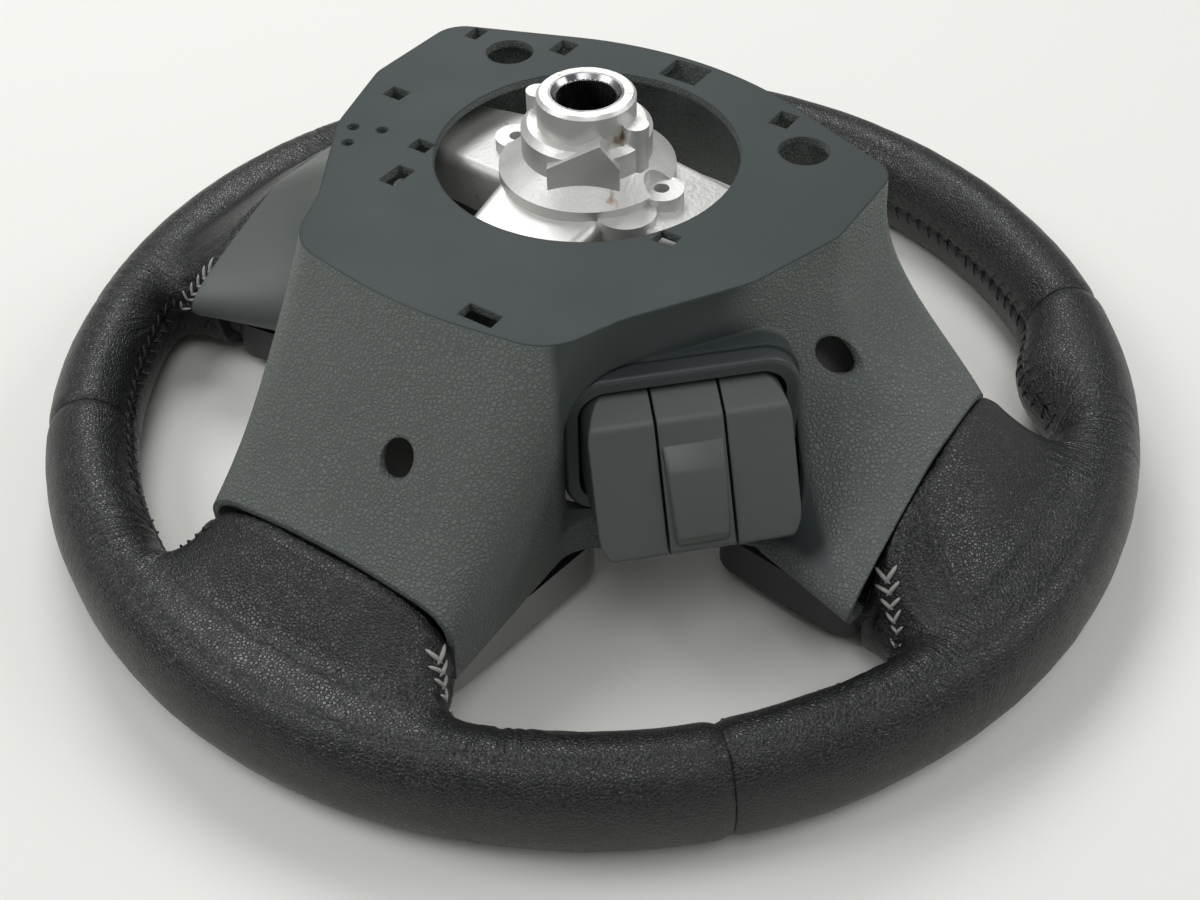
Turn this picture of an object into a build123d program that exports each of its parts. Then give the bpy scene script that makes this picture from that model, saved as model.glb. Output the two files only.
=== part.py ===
# Car steering wheel with its airbag taken out, lying on its face with the back side up.
# The origin is on the steering axis, in the plane that the rim rests on. +Z points to the column,
# +Y to the top of the wheel and +X to the right as seen from the back. Sizes are in mm and degrees.
from build123d import *
from math import atan2, copysign, cos, pi, radians, sin
import os

# Rim: a leather tube on foam, cast round the armature's ring
rim_radius = 173.0
grip_across = 29.8
grip_deep = 37.4
leather = 1.4
glue_gap = 0.1
seam_gap = 0.3
upper_seam = 48.0
lower_seam = 134.0
core_across = 13.0
core_deep = 16.0
cast_gap = 0.15
cut_over = 1.0
rim_z = grip_deep / 2

# Spokes: direction from the axis, and where leather gives way to the cover
bottom_angle = -90.0
right_angle = 0.0
left_angle = 180.0
bottom_stop = 137.0
side_stop = 132.0
side_shift = 9.0
bottom_half = 47.0
side_half = 44.0
bottom_top = 53.5
side_top = 57.0
bottom_waist = 29.0
side_waist = 24.0
side_lean = 0.15
bottom_foot = 8.0
side_foot = 4.0
bottom_flare = 31.0
side_flare = 20.0
root_sink = 9.0
bottom_bluntness = 0.67
side_bluntness = 0.72
root_points = 16
root_shares = (0.0, 0.35, 0.7, 1.0)
rim_bury = 3.4

# Rear cover: a flat face, and walls that run down to the spokes
flat_z = 111.3
foot_z = 24.0
foot_overrun = 0.01
cover_wall = 2.6
joint_gap = 0.4
column_hole_radius = 48.0
# Corners of the right half, from the top to the bottom: x, y and radius at the flat, then at the foot
cover_corners = (
    ((0.0, 74.0, 120.0), (0.0, 90.0, 140.0)),
    ((86.0, 41.0, 11.0), (146.0, 20.0, 16.0)),
    ((87.0, 2.0, 14.0), (146.0, -52.0, 12.0)),
    ((77.0, -30.0, 25.0), (91.0, -44.0, 14.0)),
    ((55.0, -64.0, 25.0), (44.0, -77.0, 14.0)),
    ((46.0, -86.0, 18.0), (46.0, -170.0, 12.0)),
    ((0.0, -93.0, 150.0), (0.0, -176.0, 150.0)),
)
# The first two corners follow the side arms' reach, the next two their spread, the rest the bottom arm
reach_corners = 2
side_corners = 4
# Height, and how far the side arms have reached out and spread there, and the bottom arm
cover_levels = (
    (92.0, 0.06, 0.05, 0.17),
    (78.0, 0.25, 0.12, 0.30),
    (62.0, 0.66, 0.22, 0.46),
    (48.0, 0.95, 0.74, 0.64),
)
top_arch_half = 76.0
top_arch_z = 66.0
top_arch_start = 30.0
top_arch_corner = 14.0

# Windows in the flat face: x, y, width, height
clip_windows = (
    (0.9, 57.3, 13.7, 11.4),
    (43.0, 49.0, 6.5, 8.4),
    (-43.0, 49.0, 6.5, 8.4),
    (-74.5, 40.6, 4.8, 7.0),
    (-72.4, -5.6, 6.9, 5.8),
    (-41.5, -43.0, 6.0, 9.8),
    (21.4, -83.6, 11.2, 5.6),
    (45.5, -25.8, 6.6, 5.6),
    (-45.5, -25.8, 6.6, 5.6),
)
pin_holes = ((-71.0, -29.0), (-62.0, -25.5), (-66.5, -37.0))
pin_hole_radius = 1.9
lug_hole_x = 57.0
lug_hole_y = 36.5
lug_hole_radius = 8.0
access_radius = 5.2
access_start = 80.0
access_stop = 150.0
bottom_access_z = 78.0
bottom_access_across = 13.5
side_access_z = 79.0
side_access_across = -10.0

# Hub of the armature
boss_top_z = 132.3
boss_radius = 15.4
boss_chamfer = 1.0
collar_radius = 20.5
collar_top_z = 122.5
collar_chamfer = 2.0
skirt_top_z = 112.5
flange_radius = 28.0
flange_top_z = 107.5
flange_thick = 5.5
flange_undercut = 3.0
hub_foot_z = 94.0
hub_foot_radius = 18.0
facet_angle = -59.0
facet_distance = 20.8
facet_half = 11.0
facet_low_z = 118.0
facet_peak_z = 126.0
facet_peak_across = 5.0
lug_distance = 18.0
lug_radius = 4.0
lug_top_z = 127.0
lobe_angle = -30.0
lobe_distance = 26.5
lobe_radius = 9.5
lobe_drop = 2.5
puller_x = 27.5
puller_radius = 2.5
puller_ear_radius = 7.0
puller_face_radius = 5.5
insert_radius = 11.7
bore_radius = 9.3
bore_chamfer = 1.6
press_gap = 0.02

# Arms of the armature: distance from the axis and height of the back face
arm_tilt = 4.0
arm_line = ((10.0, 106.0), (58.0, 100.0), (72.0, 92.0), (100.0, 44.0), (116.0, 25.5), (168.0, 24.5))
arm_radius = 9.0
arm_deep = 11.0
arm_root_deep = (18.0, 16.0)
arm_edge = 3.5
arm_skin = 5.0
arm_rib = 3.5
arm_hub_half = 21.0
arm_neck_half = 11.0
arm_end_half = 17.0
arm_neck = 112.0
arm_neck_radius = 80.0
channel_start = 66.0
channel_end = 148.0

# Cover screws, from below through the arms into bosses under the flat face
cover_screw_distance = 62.0
cover_boss_radius = 5.0
screw_radius = 2.0
screw_head_radius = 3.8
screw_head = 2.4
screw_bite = 7.0
thread_gap = 0.1
hole_gap = 0.3
screw_tip_gap = 1.0
pad_radius = 6.5
pad_thick = 10.0
pad_drop = 2.0

# Spoke trims, the driver's side of each spoke
trim_face_z = 5.0
trim_wall = 2.2
trim_top_z = 21.5
trim_inset = 1.0
trim_corner = 11.0
trim_chamfer = 1.5
trim_inner_radius = 74.0
bottom_trim_near = 60.0
bottom_trim_near_half = 49.5
bottom_trim_end_half = 39.0
trim_screw_distance = 124.0
trim_seat_gap = 0.3
trim_arm_gap = 0.6
trim_post_radius = 4.2

# Switch module on the wall between the bottom and right spokes
module_angle = -45.0
module_shift = 10.5
module_z = 68.0
hood_width = 72.0
hood_height = 53.0
hood_corner = 13.0
hood_back = 61.0
hood_front = 83.0
hood_wall = 2.6
frame_thick = 5.5
frame_ring = 4.2
frame_inset = 1.0
frame_edge = 1.4
housing_gap = 0.4
housing_wall = 1.8
housing_back_wall = 2.0
board_thick = 1.6
mat_thick = 1.0
dome_radius = 4.0
dome_high = 3.4
ear_radius = 4.5
ear_thick = 2.5
ear_lap = 2.0
ear_root = 0.5
module_screw_bite = 8.0

# Keys: a shell over a pivot pin, with a nose that reaches out of the frame
key_count = 3
key_gap = 0.9
key_frame_gap = 1.2
key_wall = 1.9
key_back = 73.0
key_brow_reach = 96.5
key_brow_drop = 5.5
key_top_run = 9.0
key_top_fall = 0.6
key_top_radius = 6.0
key_tip_reach = 117.5
key_tip_z = 50.5
key_tip_thick = 2.4
key_tip_radius = 1.2
key_lip_radius = 1.0
key_sole = 12.0
key_sole_radius = 3.0
key_brow_radius = 5.0
key_corner = 9.0
pivot_reach = 76.5
pivot_drop = 6.0
pin_radius = 1.25
pin_gap = 0.05
plunger_radius = 2.2
plunger_drop = 24.0
press_angle = 4.0
press_clear = 0.4
pad_high = 2.2
pad_sink = 0.6
pad_start = 0.34
pad_end = 0.9
pad_top_half = 6.6
pad_low_half = 5.2
pad_taper = 30.0

# Latch wires behind the access holes
wire_radius = 1.25
wire_half = 15.0
wire_bend = 4.0
wire_leg = 12.0
wire_distance = 88.0
wire_gap = 0.3


# Shared helpers

def spoke_plane(angle, distance):
    """A plane across a spoke: local x goes across, local y up, and its normal outwards."""
    out = (cos(radians(angle)), sin(radians(angle)), 0.0)
    across = (-out[1], out[0], 0.0)
    return Plane(origin=(distance * out[0], distance * out[1], 0.0), x_dir=across, z_dir=out)


def spoke_side(angle):
    """A plane along a spoke: local x goes outwards, local y up."""
    out = (cos(radians(angle)), sin(radians(angle)), 0.0)
    return Plane(origin=(0.0, 0.0, 0.0), x_dir=out, z_dir=(out[1], -out[0], 0.0))


def spoke_spot(angle, distance, across=0.0):
    """A point in plan, given along and across a spoke."""
    turn = radians(angle)
    return (distance * cos(turn) - across * sin(turn), distance * sin(turn) + across * cos(turn))


def upright(x, y, radius, low, high):
    """A round post, or the drill for one."""
    return Pos(x, y, low) * Cylinder(radius, high - low, align=(Align.CENTER, Align.CENTER, Align.MIN))


def rounded(points, radii):
    """A face inside a closed run of lines with rounded corners."""
    return make_face(FilletPolyline(*points, radius=radii, close=True))


# Rim and spoke roots

bottom_root = (bottom_top, bottom_waist, bottom_foot, bottom_flare, bottom_bluntness)
side_root = (side_top, side_waist, side_foot, side_flare, side_bluntness)
spokes = (
    (bottom_angle, 0.0, bottom_stop, bottom_half, 0.0, bottom_root),
    (right_angle, -side_shift, side_stop, side_half, side_lean, side_root),
    (left_angle, side_shift, side_stop, side_half, -side_lean, side_root),
)


def root_section(plane, middle, half, heights, lean, bluntness):
    """A soft-cornered section of a spoke, from its top over the waist to its foot."""
    top, waist, foot = heights
    points = []
    for step in range(root_points):
        turn = 2 * pi * step / root_points
        across = half * copysign(abs(cos(turn)) ** bluntness, cos(turn))
        rise = top - waist if sin(turn) > 0 else foot - waist
        height = waist + rise * abs(sin(turn)) ** bluntness + lean * across
        points.append((middle + across, height))
    return plane * make_face(Spline(points, periodic=True))


def spoke_root(angle, middle, stop, half, lean, root, inset):
    """The padded end of a spoke, which spreads and levels out as it runs into the rim."""
    *spoke_heights, flare, bluntness = root
    rim_heights = (grip_deep - rim_bury, rim_z, rim_bury)
    run = rim_radius - root_sink - stop
    sections = []
    for share in root_shares:
        top, waist, foot = [a + (b - a) * share for a, b in zip(spoke_heights, rim_heights)]
        section_half = half + flare * share * share
        sections.append(root_section(
            spoke_plane(angle, stop + run * share),
            middle,
            section_half - inset,
            (top - inset, waist, foot + inset),
            lean * (1.0 - share),
            bluntness,
        ))
    return loft(sections)


def rim_tube(across, deep):
    section = Plane.XZ * Pos(rim_radius, rim_z) * Ellipse(across / 2, deep / 2)
    return revolve(section, axis=Axis.Z)


def grip_body(inset):
    """The whole padded shape, drawn in by the inset all round."""
    body = rim_tube(grip_across - 2 * inset, grip_deep - 2 * inset)
    for spoke in spokes:
        body = body + spoke_root(*spoke, inset)
    return body


# Armature

def arm(angle, grow):
    """One cast arm from the hub to the ring: deep at the hub, wider at both ends than at its neck."""
    depths = arm_root_deep + (arm_deep,) * (len(arm_line) - len(arm_root_deep))
    top = [(distance, height + grow) for distance, height in arm_line]
    low = [(distance, height - deep - grow) for (distance, height), deep in zip(arm_line, depths)]
    radii = [0.0] + [arm_radius] * (len(arm_line) - 2) + [0.0]
    profile = spoke_side(angle) * rounded(top + low[::-1], radii + radii)
    widest = max(arm_hub_half, arm_end_half) + grow
    slab = extrude(profile, amount=widest, both=True)
    ends = (arm_line[0][0], arm_neck, arm_line[-1][0])
    halves = (arm_hub_half + grow, arm_neck_half + grow, arm_end_half + grow)
    edge = [(distance, half) for distance, half in zip(ends, halves)]
    back = [(distance, -half) for distance, half in edge]
    plan = rounded(edge + back[::-1], (0.0, arm_neck_radius, 0.0) * 2)
    return slab & extrude(Rot(0, 0, angle) * plan, amount=boss_top_z)


def soft_arm(angle):
    """An arm with its two long upper edges rounded."""
    body = Rot(0, 0, -angle) * arm(angle, 0.0)
    start = arm_line[0][0] + arm_edge
    stop = arm_line[-1][0] - arm_edge
    edges = [edge for edge in body.edges() if start < edge.center().X < stop]
    upper = [edge for edge in edges if edge.center().Z > arm_height(edge.center().X) - arm_edge]
    return Rot(0, 0, angle) * fillet([edge for edge in upper if abs(edge.center().Y) > arm_edge], arm_edge)


def arm_height(distance):
    """Height of an arm's back face at a distance from the axis."""
    for (near, near_z), (far, far_z) in zip(arm_line, arm_line[1:]):
        if near <= distance <= far:
            return near_z + (far_z - near_z) * (distance - near) / (far - near)


def arm_channel(angle):
    """The hollow under an arm, between its two ribs."""
    top = [(distance, height - arm_skin) for distance, height in arm_line]
    low = [(distance, height - 3 * arm_deep) for distance, height in reversed(arm_line)]
    profile = spoke_side(angle) * make_face(Polyline(*top, *low, close=True))
    slab = extrude(profile, amount=arm_neck_half - arm_rib, both=True)
    middle = (channel_start + channel_end) / 2
    keep = Pos(middle, 0, 0) * Box(channel_end - channel_start, 2 * grip_across, 4 * flat_z)
    return slab & (Rot(0, 0, angle) * keep)


def hub_facet():
    """The flat-faced block cast on the front of the collar."""
    low = flange_top_z
    points = (
        (-facet_half, low),
        (facet_half, low),
        (facet_half, facet_low_z),
        (facet_peak_across, facet_peak_z),
        (-facet_half, facet_low_z),
    )
    face = spoke_plane(facet_angle, 0.0) * make_face(Polyline(*points, close=True))
    return extrude(face, amount=facet_distance)


def hub():
    """The stepped boss: barrel, collar, sloping skirt and flange, with its lugs, lobes and puller ears."""
    outline = (
        (0.0, hub_foot_z),
        (hub_foot_radius, hub_foot_z),
        (flange_radius - flange_undercut, flange_top_z - flange_thick),
        (flange_radius, flange_top_z - flange_thick),
        (flange_radius, flange_top_z),
        (collar_radius, skirt_top_z),
        (collar_radius, collar_top_z - collar_chamfer),
        (collar_radius - collar_chamfer, collar_top_z),
        (boss_radius, collar_top_z),
        (boss_radius, boss_top_z - boss_chamfer),
        (boss_radius - boss_chamfer, boss_top_z),
        (0.0, boss_top_z),
    )
    body = revolve(Plane.XZ * make_face(Polyline(*outline, close=True)), axis=Axis.Z)
    for side in (1, -1):
        x, y = spoke_spot(lobe_angle, side * lobe_distance)
        body = body + upright(x, y, lobe_radius, hub_foot_z, flange_top_z - lobe_drop)
        body = body + upright(side * puller_x, 0, puller_ear_radius, hub_foot_z, flange_top_z)
        body = body - upright(side * puller_x, 0, puller_face_radius, flange_top_z, collar_top_z)
    for side in (1, -1):
        body = body + upright(side * lug_distance, 0, lug_radius, skirt_top_z, lug_top_z)
    return body + hub_facet()


arm_angles = (bottom_angle, right_angle + arm_tilt, left_angle - arm_tilt)
screw_top = flat_z - cover_wall - cut_over
pad_z = arm_line[1][1] - pad_drop


def build_armature():
    """The casting: the hub and its three arms, which end round the rim's core."""
    body = hub()
    for angle in arm_angles:
        x, y = spoke_spot(angle, cover_screw_distance)
        body = body + (soft_arm(angle) - arm_channel(angle))
        body = body + upright(x, y, pad_radius, pad_z - pad_thick, pad_z)
    for angle in arm_angles:
        x, y = spoke_spot(angle, cover_screw_distance)
        body = body - upright(x, y, screw_radius + hole_gap, 0, screw_top)
        body = body - upright(x, y, screw_head_radius + hole_gap, 0, pad_z - pad_thick)
        body = body - upright(x, y, cover_boss_radius + hole_gap, pad_z, flat_z)
        x, y = spoke_spot(angle, trim_screw_distance)
        body = body - upright(x, y, screw_radius + hole_gap, 0, screw_top)
    body = body - rim_tube(core_across + 2 * press_gap, core_deep + 2 * press_gap)
    body = body - upright(0, 0, insert_radius + press_gap, 0, boss_top_z + cut_over)
    for side in (1, -1):
        body = body - upright(side * puller_x, 0, puller_radius, 0, boss_top_z)
    return body


def build_hub_insert():
    """The steel bush that takes the column's shaft."""
    outline = (
        (bore_radius, hub_foot_z),
        (insert_radius, hub_foot_z),
        (insert_radius, boss_top_z),
        (bore_radius + bore_chamfer, boss_top_z),
        (bore_radius, boss_top_z - bore_chamfer),
    )
    return revolve(Plane.XZ * make_face(Polyline(*outline, close=True)), axis=Axis.Z)


# Leather and foam

def clock_wedge(start, stop):
    """A tall wedge between two clock angles, measured from the top of the wheel towards +X."""
    reach = 2.0 * rim_radius
    middle = (start + stop) / 2
    points = [(0.0, 0.0)]
    for clock in (start, (start + middle) / 2, middle, (stop + middle) / 2, stop):
        points.append((reach * sin(radians(clock)), reach * cos(radians(clock))))
    wedge = extrude(make_face(Polyline(*points, close=True)), amount=2 * grip_deep + bottom_top)
    return Pos(0, 0, -grip_deep) * wedge


def build_leather():
    skin = grip_body(0.0) - grip_body(leather)
    half_seam = 0.5 * seam_gap / rim_radius * 180.0 / pi
    clocks = {
        "leather_top": (-upper_seam, upper_seam),
        "leather_right_grip": (upper_seam, lower_seam),
        "leather_bottom": (lower_seam, 360.0 - lower_seam),
        "leather_left_grip": (360.0 - lower_seam, 360.0 - upper_seam),
    }
    return {name: skin & clock_wedge(a + half_seam, b - half_seam) for name, (a, b) in clocks.items()}


def build_foam():
    body = grip_body(leather + glue_gap)
    body = body - rim_tube(core_across + 2 * cast_gap, core_deep + 2 * cast_gap)
    for angle in arm_angles:
        body = body - arm(angle, cast_gap)
    return body


# Rear cover

def cover_outline(height, reach, spread, bottom, inset):
    """One level of the cover: the corners part of the way from the flat face to the foot."""
    right = []
    for index, (flat, foot) in enumerate(cover_corners):
        shares = (reach,) * 3 if index < reach_corners else (reach, spread, spread)
        shares = shares if index < side_corners else (bottom,) * 3
        right.append([near + (far - near) * share for near, far, share in zip(flat, foot, shares)])
    left = [[-x, y, radius] for x, y, radius in reversed(right[1:-1])]
    corners = right + left
    face = rounded([(x, y) for x, y, radius in corners], [radius for x, y, radius in corners])
    if inset:
        face = offset(face, -inset)
    return Pos(0, 0, height) * face


def cover_form(inset, low, high):
    levels = ((low, 1.0, 1.0, 1.0),) + cover_levels[::-1] + ((high, 0.0, 0.0, 0.0),)
    return loft([cover_outline(*level, inset) for level in levels])


def spoke_cut(angle, middle, stop):
    """Everything beyond the line where a spoke's leather starts."""
    reach = rim_radius
    block = Pos(stop + reach / 2, middle, flat_z / 2) * Box(reach, reach, 2 * flat_z)
    return Rot(0, 0, angle) * block


module_plane = spoke_plane(module_angle, 0.0)
frame_front = hood_front + frame_thick
frame_width = hood_width - 2 * frame_inset
frame_height = hood_height - 2 * frame_inset
pocket_width = hood_width - 2 * hood_wall
pocket_height = hood_height - 2 * hood_wall
housing_width = pocket_width - 2 * housing_gap
housing_height = pocket_height - 2 * housing_gap
housing_corner = hood_corner - hood_wall - housing_gap
ear_rise = hood_height / 2 + ear_radius
ear_face = hood_back + ear_thick


def module_block(start, stop, width, height, corner):
    """A rounded block of the switch module, from one reach along its axis to another."""
    face = module_plane.offset(start) * Pos(module_shift, module_z) * RectangleRounded(width, height, corner)
    return extrude(face, amount=stop - start)


def module_round(start, stop, radius, across, rise):
    face = module_plane.offset(start) * Pos(module_shift + across, module_z + rise) * Circle(radius)
    return extrude(face, amount=stop - start)


def top_arch():
    """The open arch at the top of the wheel, where the airbag's own cover would sit."""
    reach = rim_radius
    points = (
        (-top_arch_half, 0.0),
        (-top_arch_half, top_arch_z),
        (top_arch_half, top_arch_z),
        (top_arch_half, 0.0),
    )
    radii = (0.0, top_arch_corner, top_arch_corner, 0.0)
    face = Plane.XZ * Pos(0, 0, -top_arch_start) * rounded(points, radii)
    return extrude(face, amount=-reach)


def access_hole(angle, across, height):
    face = spoke_plane(angle, access_start) * Pos(across, height) * Circle(access_radius)
    return extrude(face, amount=access_stop - access_start)


def build_rear_cover():
    outer = cover_form(0.0, foot_z, flat_z)
    inner = cover_form(cover_wall, foot_z - foot_overrun, flat_z - cover_wall)
    body = outer - inner
    body = body + module_block(ear_face + joint_gap, hood_front, hood_width, hood_height, hood_corner)
    for angle in arm_angles:
        x, y = spoke_spot(angle, cover_screw_distance)
        body = body + upright(x, y, cover_boss_radius, pad_z, flat_z - cover_wall / 2)
    for rise in (ear_rise, -ear_rise):
        post = module_round(ear_face, hood_front + frame_thick, ear_radius, 0.0, rise)
        body = body + (post & outer)
    pocket_corner = hood_corner - hood_wall
    body = body - module_block(
        hood_back - cut_over,
        hood_front + cut_over,
        pocket_width,
        pocket_height,
        pocket_corner,
    )
    body = body - module_block(hood_front, 2 * key_tip_reach, hood_width, hood_height, hood_corner)
    for angle, middle, stop, *form in spokes:
        body = body - spoke_cut(angle, middle, stop - joint_gap)
    body = body - top_arch()
    body = body - upright(0, 0, column_hole_radius, foot_z, flat_z + cut_over)
    for x, y, width, height in clip_windows:
        body = body - Pos(x, y, flat_z) * Box(width, height, 4 * cover_wall)
    hole_low = flat_z - 2 * cover_wall
    hole_high = flat_z + cut_over
    for x, y in pin_holes:
        body = body - upright(x, y, pin_hole_radius, hole_low, hole_high)
    for side in (1, -1):
        body = body - upright(side * lug_hole_x, lug_hole_y, lug_hole_radius, hole_low, hole_high)
        angle = 90.0 - side * (90.0 - right_angle)
        body = body - access_hole(angle, side * side_access_across, side_access_z)
    body = body - access_hole(bottom_angle, bottom_access_across, bottom_access_z)
    thread_radius = screw_radius + thread_gap
    for angle in arm_angles:
        x, y = spoke_spot(angle, cover_screw_distance)
        body = body - upright(x, y, thread_radius, pad_z - cut_over, pad_z + screw_bite + screw_tip_gap)
    for rise in (ear_rise, -ear_rise):
        hole_end = ear_face + module_screw_bite
        body = body - module_round(ear_face - cut_over, hole_end, thread_radius, 0.0, rise)
    return body


# Spoke trims

def trim_outline(corners, inset):
    face = rounded(corners, trim_corner)
    return offset(face, -inset) if inset else face


def trim_shell(corners, screw_angle):
    """A tray whose face is towards the driver, with a wall up to the cover and a screw post."""
    face = Pos(0, 0, trim_face_z) * trim_outline(corners, trim_inset)
    outer = extrude(face, amount=trim_top_z - trim_face_z)
    outer = chamfer(outer.faces().sort_by(Axis.Z)[0].edges(), trim_chamfer)
    hollow = extrude(
        Pos(0, 0, trim_face_z + trim_wall) * trim_outline(corners, trim_inset + trim_wall),
        amount=trim_top_z,
    )
    body = outer - hollow - arm(screw_angle, trim_arm_gap)
    x, y = spoke_spot(screw_angle, trim_screw_distance)
    body = body + upright(x, y, trim_post_radius, trim_face_z + 0.5 * trim_wall, trim_post_top)
    thread_radius = screw_radius + thread_gap
    body = body - upright(x, y, thread_radius, trim_post_top - screw_bite, trim_post_top + cut_over)
    return body


trim_post_top = arm_height(trim_screw_distance) - arm_skin - trim_seat_gap


def side_trim(side):
    """The right or left spoke's trim, inside the cover's foot line."""
    foot = [corner[1] for corner in cover_corners]
    slope = (foot[1][1] - foot[0][1]) / (foot[1][0] - foot[0][0])
    end_x = side_stop - joint_gap
    corners = (
        (side * trim_inner_radius, foot[0][1] + slope * trim_inner_radius),
        (side * end_x, foot[0][1] + slope * end_x),
        (side * end_x, foot[2][1]),
        (side * trim_inner_radius, foot[3][1]),
    )
    return trim_shell(corners, arm_angles[1] if side > 0 else arm_angles[2])


def bottom_trim():
    """The bottom spoke's trim, which spreads towards the hub."""
    end_y = -(bottom_stop - joint_gap)
    corners = (
        (bottom_trim_near_half, -bottom_trim_near),
        (bottom_trim_end_half, end_y),
        (-bottom_trim_end_half, end_y),
        (-bottom_trim_near_half, -bottom_trim_near),
    )
    return trim_shell(corners, bottom_angle)


# Screws

def screw_up(x, y, seat, length):
    """A pan-head screw pointing up: its head hangs below the seat."""
    head = upright(x, y, screw_head_radius, seat - screw_head, seat)
    return head + upright(x, y, screw_radius, seat, seat + length)


def build_cover_screws():
    screws = []
    for angle in arm_angles:
        x, y = spoke_spot(angle, cover_screw_distance)
        screws.append(screw_up(x, y, pad_z - pad_thick, pad_thick + screw_bite))
    return Compound(screws)


def build_trim_screws():
    screws = []
    seat = arm_height(trim_screw_distance - screw_head_radius)
    for angle in arm_angles:
        x, y = spoke_spot(angle, trim_screw_distance)
        tip = trim_post_top - screw_bite + screw_tip_gap
        body = upright(x, y, screw_radius, tip, seat)
        screws.append(body + upright(x, y, screw_head_radius, seat, seat + screw_head))
    return Compound(screws)


# Switch module

def build_switch_frame():
    body = module_block(hood_front, frame_front, frame_width, frame_height, hood_corner - frame_inset)
    front = body.faces().sort_by(Axis(origin=(0, 0, 0), direction=module_plane.z_dir))[-1]
    body = fillet(front.edges(), frame_edge)
    opening = module_block(
        hood_front - cut_over,
        frame_front + cut_over,
        frame_width - 2 * frame_ring,
        frame_height - 2 * frame_ring,
        hood_corner - frame_ring,
    )
    return body - opening


keys_width = frame_width - 2 * frame_ring - 2 * key_frame_gap
keys_height = frame_height - 2 * frame_ring - 2 * key_frame_gap
key_width = (keys_width - (key_count - 1) * key_gap) / key_count
key_top_z = module_z + keys_height / 2
key_low_z = module_z - keys_height / 2
pivot_z = key_top_z - pivot_drop
board_front = hood_back + housing_back_wall + board_thick
dome_front = board_front + mat_thick + dome_high
press_travel = plunger_drop * press_angle * pi / 180.0
plunger_tip = dome_front + press_travel + press_clear


def key_middle_across(index):
    return module_shift + (index - (key_count - 1) / 2) * (key_width + key_gap)


def build_switch_housing():
    """The box behind the keys: it holds the pivot pin, the board and the contact mat."""
    body = module_block(hood_back, hood_front, housing_width, housing_height, housing_corner)
    body = body - module_block(
        hood_back + housing_back_wall,
        hood_front + cut_over,
        housing_width - 2 * housing_wall,
        housing_height - 2 * housing_wall,
        housing_corner - housing_wall,
    )
    inside = module_block(
        hood_back - cut_over,
        ear_face + cut_over,
        housing_width - 2 * ear_root,
        housing_height - 2 * ear_root,
        housing_corner - ear_root,
    )
    for side in (1, -1):
        ear_start = housing_height / 2 - ear_lap
        ear_middle = side * (ear_rise + ear_start) / 2
        face = module_plane.offset(hood_back) * Pos(module_shift, module_z + ear_middle)
        ear = extrude(face * Rectangle(2 * ear_radius, ear_rise - ear_start), amount=ear_thick)
        ear = ear + module_round(hood_back, ear_face, ear_radius, 0.0, side * ear_rise)
        body = body + (ear - inside)
        hole = module_round(hood_back - cut_over, ear_face + cut_over, screw_radius + hole_gap, 0.0, side * ear_rise)
        body = body - hole
    return body - pivot_rod(pin_radius + press_gap, housing_width)


def pivot_rod(radius, length):
    face = key_side(module_shift) * Pos(pivot_reach, pivot_z) * Circle(radius)
    return extrude(face, amount=length / 2, both=True)


def key_side(across):
    """A plane along the module's axis, at a distance to one side: local x reaches out, local y is up."""
    origin = module_plane.from_local_coords((across, 0.0, 0.0))
    return Plane(origin=origin, x_dir=module_plane.z_dir, z_dir=-module_plane.x_dir)


def key_profile():
    """The side view of a key: level top, rounded brow, and a face that falls away to the tip."""
    points = (
        (key_back, key_top_z),
        (key_brow_reach - key_top_run, key_top_z - key_top_fall),
        (key_brow_reach, key_top_z - key_brow_drop),
        (key_tip_reach, key_tip_z),
        (key_tip_reach - key_tip_thick, key_tip_z - key_tip_thick),
        (key_back + key_sole, key_low_z),
        (key_back, key_low_z),
    )
    radii = (0.0, key_top_radius, key_brow_radius, key_tip_radius, key_lip_radius, key_sole_radius, 0.0)
    return rounded(points, radii)


def keys_outline(inset):
    """The three keys' common outline seen from outside, with its rounded corners."""
    low = key_tip_z - key_tip_thick
    face = module_plane * Pos(module_shift, (key_top_z + low) / 2)
    width = keys_width - 2 * inset
    height = key_top_z - low - 2 * inset
    return extrude(face * RectangleRounded(width, height, key_corner - inset), amount=2 * key_tip_reach)


def key_shell(index):
    plane = key_side(key_middle_across(index))
    body = extrude(plane * key_profile(), amount=key_width / 2, both=True)
    hollow_face = offset(key_profile(), -key_wall)
    hollow = extrude(plane * hollow_face, amount=key_width / 2 - key_wall, both=True)
    mouth_height = key_top_z - key_low_z - 2 * key_wall
    mouth = Pos(key_back, (key_top_z + key_low_z) / 2) * Rectangle(4 * key_wall, mouth_height)
    hollow = hollow + extrude(plane * mouth, amount=key_width / 2 - key_wall, both=True)
    return body, hollow, plane


def key_plunger(plane):
    reach = key_tip_reach - key_back
    start = Plane(origin=plane.from_local_coords((plunger_tip, pivot_z - plunger_drop, 0.0)),
                  x_dir=module_plane.x_dir, z_dir=module_plane.z_dir)
    return extrude(start * Circle(plunger_radius), amount=reach)


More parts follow.
